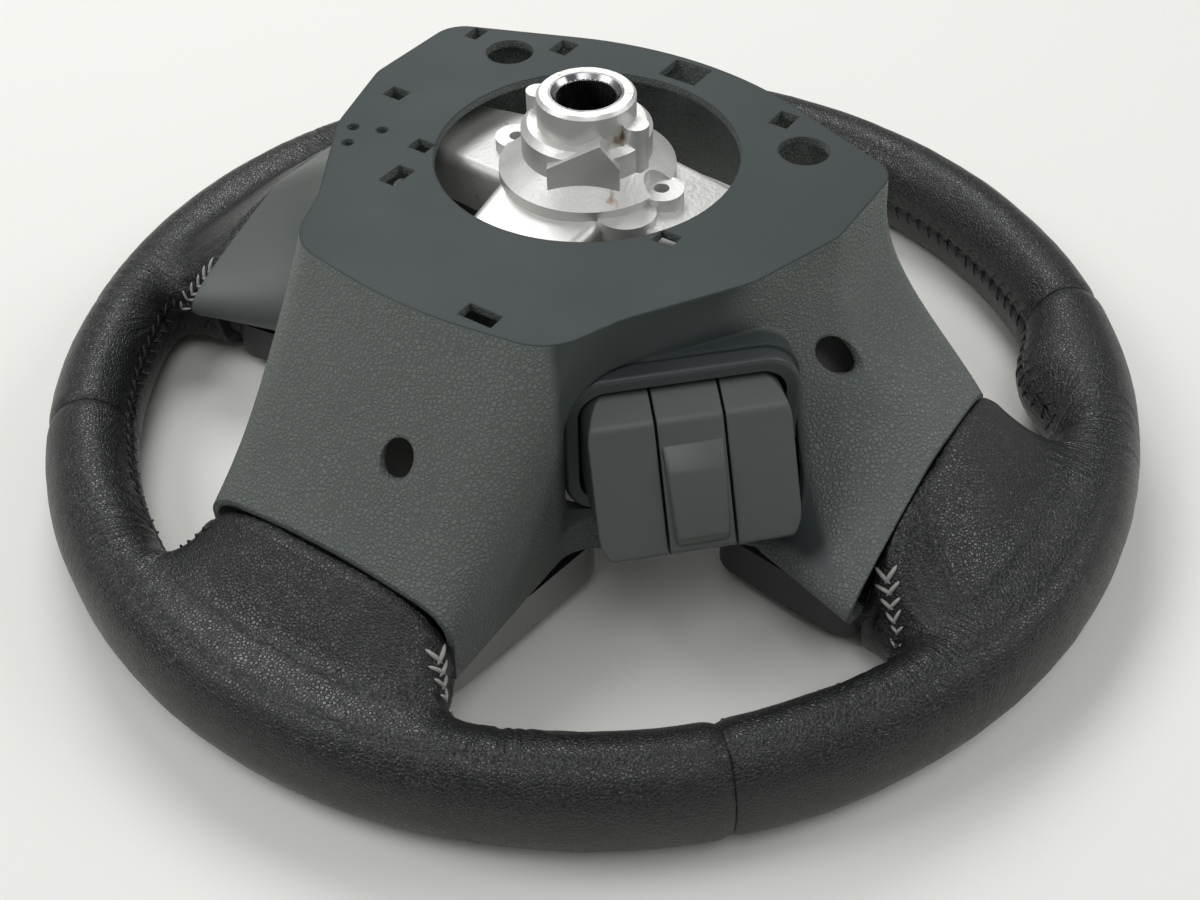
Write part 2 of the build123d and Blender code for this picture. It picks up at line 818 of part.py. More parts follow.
def key_pad(plane):
    """The raised pad that a finger finds on the middle key."""
    brow = (key_brow_reach, key_top_z - key_brow_drop)
    tip = (key_tip_reach, key_tip_z)
    run = (tip[0] - brow[0], tip[1] - brow[1])
    length = (run[0] ** 2 + run[1] ** 2) ** 0.5
    along = (run[0] / length, run[1] / length)
    start = plane.from_local_coords((brow[0], brow[1], 0.0))
    down = module_plane.z_dir * along[0] + Vector(0, 0, 1) * along[1]
    normal = module_plane.z_dir * -along[1] + Vector(0, 0, 1) * along[0]
    face = Plane(origin=start, x_dir=down, z_dir=normal)
    points = (
        (pad_start * length, -pad_top_half),
        (pad_end * length, -pad_low_half),
        (pad_end * length, pad_low_half),
        (pad_start * length, pad_top_half),
    )
    base = face.offset(-pad_sink) * make_face(Polyline(*points, close=True))
    return extrude(base, amount=pad_high + pad_sink, taper=pad_taper)


def build_key(index):
    body, hollow, plane = key_shell(index)
    body = body & keys_outline(0.0)
    hollow = hollow & keys_outline(key_wall)
    shell = body - hollow
    shell = shell + ((key_plunger(plane) & body) + (key_plunger(plane) & hollow))
    if index == 1:
        shell = shell + key_pad(plane)
    return shell - pivot_rod(pin_radius + pin_gap, 2 * keys_width)


def build_contact_mat():
    start = board_front
    width = housing_width - 2 * housing_wall - 2 * housing_gap
    height = housing_height - 2 * housing_wall - 2 * housing_gap
    body = module_block(start, start + mat_thick, width, height, housing_corner - housing_wall)
    for index in range(key_count):
        across = key_middle_across(index) - module_shift
        body = body + module_round(start, dome_front, dome_radius, across, pivot_z - plunger_drop - module_z)
    return body


def build_switch_board():
    start = hood_back + housing_back_wall
    width = housing_width - 2 * housing_wall - 2 * housing_gap
    height = housing_height - 2 * housing_wall - 2 * housing_gap
    return module_block(start, start + board_thick, width, height, housing_corner - housing_wall)


def build_module_screws():
    screws = []
    for rise in (ear_rise, -ear_rise):
        shank = module_round(hood_back, ear_face + module_screw_bite - screw_tip_gap, screw_radius, 0.0, rise)
        screws.append(shank + module_round(hood_back - screw_head, hood_back, screw_head_radius, 0.0, rise))
    return Compound(screws)


# Latch wires

def latch_wire(angle):
    """A bent spring wire under an arm, with a leg hooked down at each end."""
    (near, near_z), (far, far_z) = arm_line[2:4]
    lean = atan2(near_z - far_z, far - near)
    seat = arm_height(wire_distance) - arm_deep - (wire_radius + wire_gap) / cos(lean)
    plane = spoke_plane(angle, wire_distance)
    points = (
        (-wire_half, seat - wire_leg),
        (-wire_half, seat),
        (wire_half, seat),
        (wire_half, seat - wire_leg),
    )
    path = plane * FilletPolyline(*points, radius=wire_bend)
    start = Plane(origin=path @ 0, z_dir=path % 0)
    return sweep(start * Circle(wire_radius), path=path)


nodes = {
    "armature": build_armature(),
    "rim_core": rim_tube(core_across, core_deep),
    "hub_insert": build_hub_insert(),
    "rim_foam": build_foam(),
    "rear_cover": build_rear_cover(),
    "right_spoke_trim": side_trim(1),
    "left_spoke_trim": side_trim(-1),
    "bottom_spoke_trim": bottom_trim(),
    "cover_screws": build_cover_screws(),
    "trim_screws": build_trim_screws(),
    "switch_frame": build_switch_frame(),
    "switch_housing": build_switch_housing(),
    "key_pivot_pin": pivot_rod(pin_radius, housing_width),
    "contact_mat": build_contact_mat(),
    "switch_board": build_switch_board(),
    "module_screws": build_module_screws(),
    "latch_wire_bottom": latch_wire(bottom_angle),
    "latch_wire_right": latch_wire(arm_angles[1]),
    "latch_wire_left": latch_wire(arm_angles[2]),
}
for index, name in enumerate(("key_left", "key_middle", "key_right")):
    nodes[name] = build_key(index)
nodes.update(build_leather())

os.makedirs("parts", exist_ok=True)
for name, shape in nodes.items():
    export_step(shape, f"parts/{name}.step")
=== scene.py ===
import bpy
import math
import numpy as np
from mathutils import Matrix, Vector, noise


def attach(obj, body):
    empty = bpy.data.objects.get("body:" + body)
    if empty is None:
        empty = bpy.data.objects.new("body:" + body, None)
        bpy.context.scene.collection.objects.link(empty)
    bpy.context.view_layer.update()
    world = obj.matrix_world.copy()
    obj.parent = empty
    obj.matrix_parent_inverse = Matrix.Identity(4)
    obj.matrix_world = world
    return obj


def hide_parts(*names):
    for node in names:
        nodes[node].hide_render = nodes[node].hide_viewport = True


# Steering wheel on its face, dressed for the photograph. Lengths are in metres, angles in degrees.
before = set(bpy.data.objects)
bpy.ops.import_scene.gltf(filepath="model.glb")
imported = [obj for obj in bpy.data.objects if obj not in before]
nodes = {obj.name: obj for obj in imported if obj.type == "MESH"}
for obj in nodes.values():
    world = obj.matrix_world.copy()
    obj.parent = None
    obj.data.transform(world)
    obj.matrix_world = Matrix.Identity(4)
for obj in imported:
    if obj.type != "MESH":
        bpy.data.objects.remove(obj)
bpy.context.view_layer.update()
print("frame loaded:", len(nodes), "nodes")


# Small tools

def clearSelection():
    if bpy.context.object and bpy.context.object.mode != "OBJECT":
        bpy.ops.object.mode_set(mode="OBJECT")
    bpy.ops.object.select_all(action="DESELECT")


def pickOnly(piece):
    clearSelection()
    piece.select_set(True)
    bpy.context.view_layer.objects.active = piece


def applyStep(piece, kind, **settings):
    pickOnly(piece)
    step = piece.modifiers.new(kind.lower(), kind)
    for name, value in settings.items():
        setattr(step, name, value)
    bpy.ops.object.modifier_apply(modifier=step.name)


def joinPieces(pieces, name):
    pickOnly(pieces[0])
    for piece in pieces:
        piece.select_set(True)
    bpy.ops.object.join()
    joined = bpy.context.object
    joined.name = name
    return joined


def readVertices(piece, field):
    values = np.zeros(len(piece.data.vertices) * 3, np.float32)
    piece.data.vertices.foreach_get(field, values)
    return values.reshape(-1, 3).astype(float)


def writePoints(piece, points):
    piece.data.vertices.foreach_set("co", points.astype(np.float32).ravel())
    piece.data.update()


def softStep(low, high, value):
    share = np.clip((value - low) / (high - low), 0, 1)
    return share * share * (3 - 2 * share)


def roughField(points, scale, seed):
    return np.array([noise.noise(Vector(p) * scale + Vector((seed, 0, 0))) for p in points])


def leadAxes(angle):
    # outward and leftward directions in the wheel's plane, with the angle counted from +X
    lead = math.radians(angle)
    return Vector((math.cos(lead), math.sin(lead), 0)), Vector((-math.sin(lead), math.cos(lead), 0))


def clockAxes(clock):
    # outward and clockwise directions, with the angle counted from the top of the wheel
    lead = math.radians(clock)
    return Vector((math.sin(lead), math.cos(lead), 0)), Vector((math.cos(lead), -math.sin(lead), 0))


# Material nodes

def newGroup(name, inputs, outputs):
    group = bpy.data.node_groups.new(name, "ShaderNodeTree")
    for direction, labels in (("INPUT", inputs), ("OUTPUT", outputs)):
        for label in labels:
            kind = "NodeSocketVector" if label == "Vector" else "NodeSocketFloat"
            group.interface.new_socket(label, in_out=direction, socket_type=kind)
    return group, group.nodes.new("NodeGroupInput").outputs, group.nodes.new("NodeGroupOutput").inputs


def addNode(tree, kind, **settings):
    node = tree.nodes.new(kind)
    for name, value in settings.items():
        setattr(node, name, value)
    return node


def setOrLink(tree, socket, value):
    if isinstance(value, tuple):
        socket.default_value = (*value, 1.0)
    elif isinstance(value, (int, float)):
        socket.default_value = value
    else:
        tree.links.new(value, socket)


def mathNode(tree, operation, *values):
    node = addNode(tree, "ShaderNodeMath", operation=operation)
    for socket, value in zip(node.inputs, values):
        setOrLink(tree, socket, value)
    return node.outputs[0]


def noiseNode(tree, vector, scale, detail=2.0):
    node = addNode(tree, "ShaderNodeTexNoise")
    node.inputs["Detail"].default_value = detail
    tree.links.new(vector, node.inputs["Vector"])
    setOrLink(tree, node.inputs["Scale"], scale)
    return node


def rangeNode(tree, value, low, high, toLow=0.0, toHigh=1.0):
    node = addNode(tree, "ShaderNodeMapRange", interpolation_type="SMOOTHSTEP")
    for label, number in (("From Min", low), ("From Max", high), ("To Min", toLow), ("To Max", toHigh)):
        node.inputs[label].default_value = number
    tree.links.new(value, node.inputs["Value"])
    return node.outputs["Result"]


def splitNode(tree, vector):
    node = addNode(tree, "ShaderNodeSeparateXYZ")
    tree.links.new(vector, node.inputs[0])
    return node.outputs


def mixColours(tree, share, first, second):
    mix = addNode(tree, "ShaderNodeMix", data_type="RGBA")
    sockets = [socket for socket in mix.inputs if socket.enabled]
    for socket, value in zip(sockets, (share, first, second)):
        setOrLink(tree, socket, value)
    return [socket for socket in mix.outputs if socket.enabled][0]


grainShape = dict(warpCells=0.6, warpReach=0.8, valleyWidth=0.26, toothCells=3.2)


def makeGrainGroup():
    # pebbled hide: cells with soft valleys, and a finer tooth on top
    group, source, result = newGroup("hideGrain", ("Vector", "Cells", "Tooth"), ("Height", "Valley"))
    links = group.links
    warpScale = mathNode(group, "MULTIPLY", source["Cells"], grainShape["warpCells"])
    warp = noiseNode(group, source["Vector"], warpScale)
    centred = addNode(group, "ShaderNodeVectorMath", operation="SUBTRACT")
    centred.inputs[1].default_value = (0.5, 0.5, 0.5)
    links.new(warp.outputs["Color"], centred.inputs[0])
    reach = mathNode(group, "DIVIDE", grainShape["warpReach"], source["Cells"])
    pushed = addNode(group, "ShaderNodeVectorMath", operation="SCALE")
    links.new(centred.outputs[0], pushed.inputs[0])
    links.new(reach, pushed.inputs["Scale"])
    moved = addNode(group, "ShaderNodeVectorMath", operation="ADD")
    links.new(source["Vector"], moved.inputs[0])
    links.new(pushed.outputs[0], moved.inputs[1])
    cells = addNode(group, "ShaderNodeTexVoronoi", feature="DISTANCE_TO_EDGE")
    links.new(moved.outputs[0], cells.inputs["Vector"])
    links.new(source["Cells"], cells.inputs["Scale"])
    dome = rangeNode(group, cells.outputs["Distance"], 0.0, grainShape["valleyWidth"])
    fineScale = mathNode(group, "MULTIPLY", source["Cells"], grainShape["toothCells"])
    fine = noiseNode(group, source["Vector"], fineScale, detail=3.0)
    tooth = mathNode(group, "MULTIPLY", fine.outputs["Fac"], source["Tooth"])
    links.new(mathNode(group, "ADD", dome, tooth), result["Height"])
    links.new(mathNode(group, "SUBTRACT", 1.0, dome), result["Valley"])
    return group


def makeMottleGroup():
    # slow change of tone and gloss over a surface
    group, source, result = newGroup("mottle", ("Vector", "Spread"), ("Tone",))
    slow = noiseNode(group, source["Vector"], source["Spread"], detail=4.0)
    group.links.new(slow.outputs["Fac"], result["Tone"])
    return group


grainGroup = makeGrainGroup()
mottleGroup = makeMottleGroup()


# Materials

def newMaterial(name):
    material = bpy.data.materials.new(name)
    material.use_nodes = True
    return material, material.node_tree.nodes["Principled BSDF"]


def startMaterial(name):
    material, shader = newMaterial(name)
    tree = material.node_tree
    place = addNode(tree, "ShaderNodeTexCoord").outputs["Object"]
    return material, tree, shader, place


def placeGroup(tree, group, place, **values):
    node = addNode(tree, "ShaderNodeGroup", node_tree=group)
    tree.links.new(place, node.inputs["Vector"])
    for label, value in values.items():
        node.inputs[label].default_value = value
    return node


def dimmed(colour, share):
    return tuple(share * part for part in colour)


def startMottled(name, colour, dimness, spread, rough, band=(0.3, 0.7)):
    # a material whose tone and roughness drift between two values
    material, tree, shader, place = startMaterial(name)
    tone = placeGroup(tree, mottleGroup, place, Spread=spread).outputs["Tone"]
    tree.links.new(mixColours(tree, tone, dimmed(colour, dimness), colour), shader.inputs["Base Color"])
    tree.links.new(rangeNode(tree, tone, *band, *rough), shader.inputs["Roughness"])
    return material, tree, shader, place


def addBump(tree, shader, height, distance, edge=0.0):
    bump = addNode(tree, "ShaderNodeBump")
    bump.inputs["Distance"].default_value = distance
    tree.links.new(height, bump.inputs["Height"])
    if edge:
        # sharp edges catch the light as if slightly rounded
        soft = addNode(tree, "ShaderNodeBevel", samples=4)
        soft.inputs["Radius"].default_value = edge
        tree.links.new(soft.outputs["Normal"], bump.inputs["Normal"])
    tree.links.new(bump.outputs["Normal"], shader.inputs["Normal"])


hideLook = dict(
    colour=(0.0050, 0.0056, 0.0056),
    worn=(0.0075, 0.0080, 0.0078),
    wornBand=(0.35, 0.7),
    specular=0.55,
    spread=26.0,
    cells=900.0,
    tooth=0.04,
    grainDepth=0.00012,
    gloss=0.27,
    glossBand=(0.3, 0.75),
    glossLoss=0.1,
    valleyRougher=0.12,
    creaseDepth=0.00030,
    creaseRays=13.0,
    creaseLength=34.0,
    creaseSharp=6.0,
)


def addCreases(tree):
    # fine creases that fan out from the spoke corners, on the hide's own fan attribute
    look = hideLook
    fan = addNode(tree, "ShaderNodeAttribute", attribute_name="fan")
    turn, away, mask = splitNode(tree, fan.outputs["Vector"])
    spread = addNode(tree, "ShaderNodeCombineXYZ")
    tree.links.new(mathNode(tree, "MULTIPLY", turn, look["creaseRays"]), spread.inputs["X"])
    tree.links.new(mathNode(tree, "MULTIPLY", away, look["creaseLength"]), spread.inputs["Y"])
    rays = noiseNode(tree, spread.outputs[0], 1.0, detail=1.0)
    ridge = mathNode(tree, "ABSOLUTE", mathNode(tree, "SUBTRACT", rays.outputs["Fac"], 0.5))
    crease = mathNode(tree, "MINIMUM", mathNode(tree, "MULTIPLY", ridge, look["creaseSharp"]), 1.0)
    return mathNode(tree, "MULTIPLY", crease, mask)


def makeHide():
    look = hideLook
    material, tree, shader, place = startMaterial("rimHide")
    shader.inputs["Specular IOR Level"].default_value = look["specular"]
    grain = placeGroup(tree, grainGroup, place, Cells=look["cells"], Tooth=look["tooth"])
    tone = placeGroup(tree, mottleGroup, place, Spread=look["spread"]).outputs["Tone"]
    worn = rangeNode(tree, tone, *look["wornBand"])
    tree.links.new(mixColours(tree, worn, look["colour"], look["worn"]), shader.inputs["Base Color"])
    smooth = rangeNode(tree, tone, *look["glossBand"], look["gloss"], look["gloss"] + look["glossLoss"])
    dull = mathNode(tree, "MULTIPLY", grain.outputs["Valley"], look["valleyRougher"])
    tree.links.new(mathNode(tree, "ADD", smooth, dull), shader.inputs["Roughness"])
    creases = mathNode(tree, "MULTIPLY", addCreases(tree), look["creaseDepth"] / look["grainDepth"])
    addBump(tree, shader, mathNode(tree, "ADD", grain.outputs["Height"], creases), look["grainDepth"])
    return material


mouldedLook = dict(dimness=0.86, spread=30.0, smoother=0.04, rougher=0.05)


def makeMoulded(name, colour, rough, depth, cells, edge=0.0):
    # plain moulded plastic with a fine spark-eroded tooth
    look = mouldedLook
    limits = (rough - look["smoother"], rough + look["rougher"])
    material, tree, shader, place = startMottled(name, colour, look["dimness"], look["spread"], limits)
    tooth = noiseNode(tree, place, cells, detail=3.0)
    addBump(tree, shader, tooth.outputs["Fac"], depth, edge)
    return material


coverLook = dict(
    flatColour=(0.037, 0.048, 0.048),
    flatDimness=0.9,
    # painted sheen: the grained walls are much lighter than the smooth flat and hood, as if they caught
    # more light
    wallSheenColour=(0.132, 0.149, 0.139),
    # painted shade in the grain's valleys
    valleyShadeColour=(0.096, 0.110, 0.103),
    specular=0.4,
    spread=22.0,
    flatHeight=0.1109,
    flatEdge=0.0003,
    cells=720.0,
    tooth=0.15,
    grainDepth=0.00022,
    toothCells=2600.0,
    toothDepth=0.00002,
    edge=0.0012,
    wallRough=0.43,
    wallRougher=0.07,
    roughBand=(0.3, 0.7),
    flatRougher=0.19,
    leftPanel=-0.088,
    panelEdge=0.003,
    moduleTurn=45.0,
    hoodMiddle=0.0105,
    hoodHalf=0.040,
    hoodStart=0.074,
    hoodLow=0.036,
    hoodEdge=0.004,
)


def addHoodMask(tree, place, height):
    # the smooth hood round the switches, in the module's own turned axes
    look = coverLook
    edge = look["hoodEdge"]
    turned = addNode(tree, "ShaderNodeMapping")
    turned.inputs["Rotation"].default_value = (0, 0, math.radians(look["moduleTurn"]))
    tree.links.new(place, turned.inputs["Vector"])
    local = splitNode(tree, turned.outputs[0])
    side = mathNode(tree, "ABSOLUTE", mathNode(tree, "SUBTRACT", local["Y"], look["hoodMiddle"]))
    inside = rangeNode(tree, side, look["hoodHalf"], look["hoodHalf"] - edge)
    front = rangeNode(tree, local["X"], look["hoodStart"], look["hoodStart"] + edge)
    above = rangeNode(tree, height, look["hoodLow"], look["hoodLow"] + edge)
    return mathNode(tree, "MULTIPLY", mathNode(tree, "MULTIPLY", inside, front), above)


def makeCoverMaterial():
    look = coverLook
    material, tree, shader, place = startMaterial("coverPlastic")
    shader.inputs["Specular IOR Level"].default_value = look["specular"]
    grain = placeGroup(tree, grainGroup, place, Cells=look["cells"], Tooth=look["tooth"])
    tone = placeGroup(tree, mottleGroup, place, Spread=look["spread"]).outputs["Tone"]
    apart = splitNode(tree, place)
    flat = rangeNode(tree, apart["Z"], look["flatHeight"], look["flatHeight"] + look["flatEdge"])
    panel = rangeNode(tree, apart["X"], look["leftPanel"], look["leftPanel"] - look["panelEdge"])
    smooth = mathNode(tree, "MAXIMUM", flat, addHoodMask(tree, place, apart["Z"]))
    grained = mathNode(tree, "SUBTRACT", 1.0, mathNode(tree, "MAXIMUM", smooth, panel))
    # the left end panel has no grain and takes the painted valley-shade colour as its plain tone
    valley = mathNode(tree, "MULTIPLY", grain.outputs["Valley"], grained)
    valley = mathNode(tree, "MAXIMUM", valley, panel)
    # the wall colour, darkened in the grain's valleys by painted shade
    wall = mixColours(tree, valley, look["wallSheenColour"], look["valleyShadeColour"])
    plain = mixColours(tree, tone, dimmed(look["flatColour"], look["flatDimness"]), look["flatColour"])
    # smooth flat and hood against the walls, whose lighter colour is a painted sheen
    tree.links.new(mixColours(tree, smooth, wall, plain), shader.inputs["Base Color"])
    wallRough = (look["wallRough"], look["wallRough"] + look["wallRougher"])
    rough = rangeNode(tree, tone, *look["roughBand"], *wallRough)
    rough = mathNode(tree, "ADD", rough, mathNode(tree, "MULTIPLY", flat, look["flatRougher"]))
    tree.links.new(rough, shader.inputs["Roughness"])
    tooth = noiseNode(tree, place, look["toothCells"])
    depth = mathNode(tree, "MULTIPLY", grain.outputs["Height"], grained)
    fine = mathNode(tree, "MULTIPLY", tooth.outputs["Fac"], look["toothDepth"] / look["grainDepth"])
    addBump(tree, shader, mathNode(tree, "ADD", depth, fine), look["grainDepth"], look["edge"])
    return material


alloyLook = dict(
    colour=(0.76, 0.76, 0.73),
    shade=(0.60, 0.60, 0.58),
    metallic=0.6,
    spread=60.0,
    stain=(0.42, 0.33, 0.24),
    stainCells=150.0,
    stainBand=(0.64, 0.74),
    rough=(0.40, 0.54),
    roughBand=(0.3, 0.7),
    machinedFrom=0.1320,
    machinedEdge=0.0002,
    machinedSmoother=0.14,
    skinCells=700.0,
    skinDepth=0.00012,
)


def makeAlloy():
    look = alloyLook
    material, tree, shader, place = startMaterial("castAlloy")
    shader.inputs["Metallic"].default_value = look["metallic"]
    tone = placeGroup(tree, mottleGroup, place, Spread=look["spread"]).outputs["Tone"]
    body = mixColours(tree, tone, look["shade"], look["colour"])
    blot = noiseNode(tree, place, look["stainCells"], detail=5.0)
    stain = rangeNode(tree, blot.outputs["Fac"], *look["stainBand"])
    tree.links.new(mixColours(tree, stain, body, look["stain"]), shader.inputs["Base Color"])
    height = splitNode(tree, place)["Z"]
    machined = rangeNode(tree, height, look["machinedFrom"], look["machinedFrom"] + look["machinedEdge"])
    cast = rangeNode(tree, tone, *look["roughBand"], *look["rough"])
    polish = mathNode(tree, "MULTIPLY", machined, look["machinedSmoother"])
    tree.links.new(mathNode(tree, "SUBTRACT", cast, polish), shader.inputs["Roughness"])
    skin = noiseNode(tree, place, look["skinCells"], detail=4.0)
    addBump(tree, shader, skin.outputs["Fac"], look["skinDepth"])
    return material


steelLook = dict(
    colour=(0.42, 0.42, 0.43),
    dimness=0.6,
    spread=120.0,
    rough=(0.16, 0.3),
    boreRadius=0.0096,
    boreEdge=0.0001,
    splines=38.0,
    splineDepth=0.0004,
)


def makeBushSteel():
    look = steelLook
    material, tree, shader, place = startMottled(
        "bushSteel", look["colour"], look["dimness"], look["spread"], look["rough"]
    )
    shader.inputs["Metallic"].default_value = 1.0
    apart = splitNode(tree, place)
    turn = mathNode(tree, "ARCTAN2", apart["Y"], apart["X"])
    ridge = mathNode(tree, "SINE", mathNode(tree, "MULTIPLY", turn, look["splines"]))
    squares = [mathNode(tree, "POWER", apart[axis], 2.0) for axis in "XY"]
    bore = look["boreRadius"]
    inBore = rangeNode(tree, mathNode(tree, "ADD", *squares), bore ** 2, (bore - look["boreEdge"]) ** 2)
    addBump(tree, shader, mathNode(tree, "MULTIPLY", ridge, inBore), look["splineDepth"])
    return material


metalLook = dict(dimness=0.7, spread=180.0, smoother=0.06, rougher=0.08)


def makeMetal(name, colour, rough):
    look = metalLook
    limits = (rough - look["smoother"], rough + look["rougher"])
    material, _, shader, _ = startMottled(name, colour, look["dimness"], look["spread"], limits)
    shader.inputs["Metallic"].default_value = 1.0
    return material


glossLook = dict(
    colour=(0.008, 0.008, 0.009),
    dimness=0.7,
    spread=55.0,
    rough=(0.05, 0.14),
    roughBand=(0.35, 0.75),
    coatIor=2.6,
    coatRough=0.04,
)


def makeGloss():
    # piano-black moulding: a clear coat over a dark body, with faint handling marks
    look = glossLook
    material, _, shader, _ = startMottled(
        "trimGloss", look["colour"], look["dimness"], look["spread"], look["rough"], look["roughBand"]
    )
    shader.inputs["Coat Weight"].default_value = 1.0
    shader.inputs["Coat IOR"].default_value = look["coatIor"]
    shader.inputs["Coat Roughness"].default_value = look["coatRough"]
    return material


hideMaterial = makeHide()
threadMaterial = makeMoulded("darkThread", (0.022, 0.022, 0.022), rough=0.5, depth=0.00004, cells=4000.0)
paleThreadMaterial = makeMoulded("paleThread", (0.40, 0.40, 0.375), rough=0.65, depth=0.00004, cells=4000.0)
alloyMaterial = makeAlloy()
screwMaterial = makeMetal("zincScrew", (0.45, 0.45, 0.46), rough=0.35)
wireMaterial = makeMetal("springWire", (0.30, 0.30, 0.31), rough=0.3)
trimMaterial = makeMoulded("trimSatin", (0.030, 0.032, 0.031), rough=0.36, depth=0.00002, cells=3000.0)
keyMaterial = makeMoulded(
    "keySatin", (0.090, 0.101, 0.094), rough=0.4, depth=0.00001, cells=5200.0, edge=0.0010
)
nodeLooks = dict(
    armature=alloyMaterial,
    rim_core=alloyMaterial,
    hub_insert=makeBushSteel(),
    rim_foam=makeMoulded("mouldedFoam", (0.014, 0.014, 0.014), rough=0.8, depth=0.0001, cells=1500.0),
    rear_cover=makeCoverMaterial(),
    right_spoke_trim=trimMaterial,
    left_spoke_trim=trimMaterial,
    bottom_spoke_trim=makeGloss(),
    cover_screws=screwMaterial,
    trim_screws=screwMaterial,
    module_screws=screwMaterial,
    switch_frame=makeMoulded("frameSatin", (0.046, 0.053, 0.055), rough=0.46, depth=0.00002, cells=3200.0),
    switch_housing=makeMoulded(
        "housingPlastic", (0.012, 0.012, 0.013), rough=0.55, depth=0.00003, cells=2400.0
    ),
    key_pivot_pin=screwMaterial,
    contact_mat=makeMoulded("greyRubber", (0.16, 0.16, 0.16), rough=0.6, depth=0.00002, cells=2500.0),
    switch_board=makeMoulded("greenBoard", (0.012, 0.085, 0.035), rough=0.35, depth=0.00002, cells=1800.0),
    latch_wire_bottom=wireMaterial,
    latch_wire_right=wireMaterial,
    latch_wire_left=wireMaterial,
    key_left=keyMaterial,
    key_middle=keyMaterial,
    key_right=keyMaterial,
)


def dress(piece, material):
    piece.data.materials.clear()
    piece.data.materials.append(material)


for nodeName, nodeMaterial in nodeLooks.items():
    dress(nodes[nodeName], nodeMaterial)
print("materials placed on the nodes")


# Leather: the rim and the three spoke ends are one padded form, cut into four panels at its seams

leather = dict(
    rimRadius=0.173,
    acrossHalf=0.0149,
    deepHalf=0.0187,
    sectionRadius=0.0168,
    ringSteps=200,
    tubeSteps=48,
    rootSteps=64,
    rootRings=14,
    rootEnd=0.164,
    rootBack=0.22,
    rimTop=0.034,
    rimFoot=0.0034,
    voxel=0.0019,
    upperSeam=48.0,
    lowerSeam=134.0,
    seamGap=0.00015,
    lip=0.86,
    rootLip=0.9,
    rootTuck=0.008,
    rootCutAhead=0.006,
    rootCutBehind=0.02,
    rootCutSide=0.012,
    lacingTurn=163.0,
    lacingRise=22.0,
    lacingSpan=50.0,
    stitchStep=0.0058,
)
innerRadius = leather["rimRadius"] - leather["acrossHalf"]
sideRoot = dict(
    start=0.132, half=0.044, top=0.057, waist=0.024, foot=0.004, flare=0.020, bluntness=0.72
)
spokeRoots = dict(
    bottom=dict(
        angle=-90.0, middle=0.0, tilt=0.0, start=0.137, half=0.047,
        top=0.0535, waist=0.029, foot=0.008, flare=0.031, bluntness=0.67,
    ),
    right=dict(sideRoot, angle=0.0, middle=-0.009, tilt=0.15),
    left=dict(sideRoot, angle=180.0, middle=0.009, tilt=-0.15),
)


def rootPoint(root, share, turn):
    # share runs from the cover to the rim, and turn goes round the section
    crown = root["top"] + (leather["rimTop"] - root["top"]) * share
    belt = root["waist"] + (leather["deepHalf"] - root["waist"]) * share
    base = root["foot"] + (leather["rimFoot"] - root["foot"]) * share
    wide = root["half"] + root["flare"] * max(share, 0) ** 2
    blunt = root["bluntness"]
    across = math.copysign(abs(math.cos(turn)) ** blunt, math.cos(turn)) * wide
    rise = (crown - belt) if math.sin(turn) > 0 else (base - belt)
    height = belt + rise * abs(math.sin(turn)) ** blunt + root["tilt"] * (1 - share) * across
    reach = root["start"] + (leather["rootEnd"] - root["start"]) * share
    out, left = leadAxes(root["angle"])
    return out * reach + left * (root["middle"] + across) + Vector((0, 0, height))


def rootReach(points, root):
    # distances outwards along a spoke end and sideways from its middle
    out, left = leadAxes(root["angle"])
    return points @ np.array(out), points @ np.array(left) - root["middle"]


def makeRoot(root):
    clearSelection()
    bpy.ops.mesh.primitive_grid_add(
        x_subdivisions=leather["rootSteps"], y_subdivisions=leather["rootRings"], size=1.0
    )
    piece = bpy.context.object
    back = leather["rootBack"]
    for corner in piece.data.vertices:
        share = (corner.co.y + 0.5) * (1 + back) - back
        corner.co = rootPoint(root, share, (corner.co.x + 0.5) * 2 * math.pi)
    bpy.ops.object.mode_set(mode="EDIT")
    bpy.ops.mesh.select_all(action="SELECT")
    bpy.ops.mesh.remove_doubles(threshold=1e-6)
    bpy.ops.mesh.fill_holes(sides=0)
    bpy.ops.mesh.normals_make_consistent(inside=False)
    bpy.ops.object.mode_set(mode="OBJECT")
    return piece


sweep = dict(
    startLow=0.004,
    startHigh=0.014,
    rimLow=0.168,
    rimHigh=0.182,
    sideLow=0.030,
    sideHigh=0.055,
    leastWeight=0.01,
)


def blendRoots(form):
    # more smoothing where a spoke runs into the rim, so that the hide sweeps from one to the other
    points = readVertices(form, "co")
    group = form.vertex_groups.new(name="sweep")
    weights = np.zeros(len(points))
    for root in spokeRoots.values():
        reach, across = rootReach(points, root)
        near = softStep(root["start"] + sweep["startLow"], root["start"] + sweep["startHigh"], reach)
        near *= 1 - softStep(sweep["rimLow"], sweep["rimHigh"], reach)
        beside = np.abs(across) - root["half"]
        near *= 1 - softStep(sweep["sideLow"], sweep["sideHigh"], beside)
        weights = np.maximum(weights, near)
    for index, weight in enumerate(weights):
        if weight > sweep["leastWeight"]:
            group.add([index], float(weight), "REPLACE")
    applyStep(form, "SMOOTH", factor=0.5, iterations=45, vertex_group="sweep")


def makePaddedForm():
    clearSelection()
    bpy.ops.mesh.primitive_torus_add(
        major_segments=leather["ringSteps"],
        minor_segments=leather["tubeSteps"],
        major_radius=leather["rimRadius"],
        minor_radius=leather["acrossHalf"],
        location=(0, 0, leather["deepHalf"]),
    )
    tube = bpy.context.object
    tube.scale.z = leather["deepHalf"] / leather["acrossHalf"]
    bpy.ops.object.transform_apply(location=True, rotation=True, scale=True)
    form = joinPieces([tube] + [makeRoot(root) for root in spokeRoots.values()], "paddedForm")
    applyStep(form, "REMESH", mode="VOXEL", voxel_size=leather["voxel"], use_smooth_shade=True)
    blendRoots(form)
    applyStep(form, "SMOOTH", factor=0.5, iterations=4)
    applyStep(form, "SUBSURF", levels=1, render_levels=1)
    return form


# Hide details are pushed into the padded form: seams, lacing, thumb rests, folds at the spoke ends

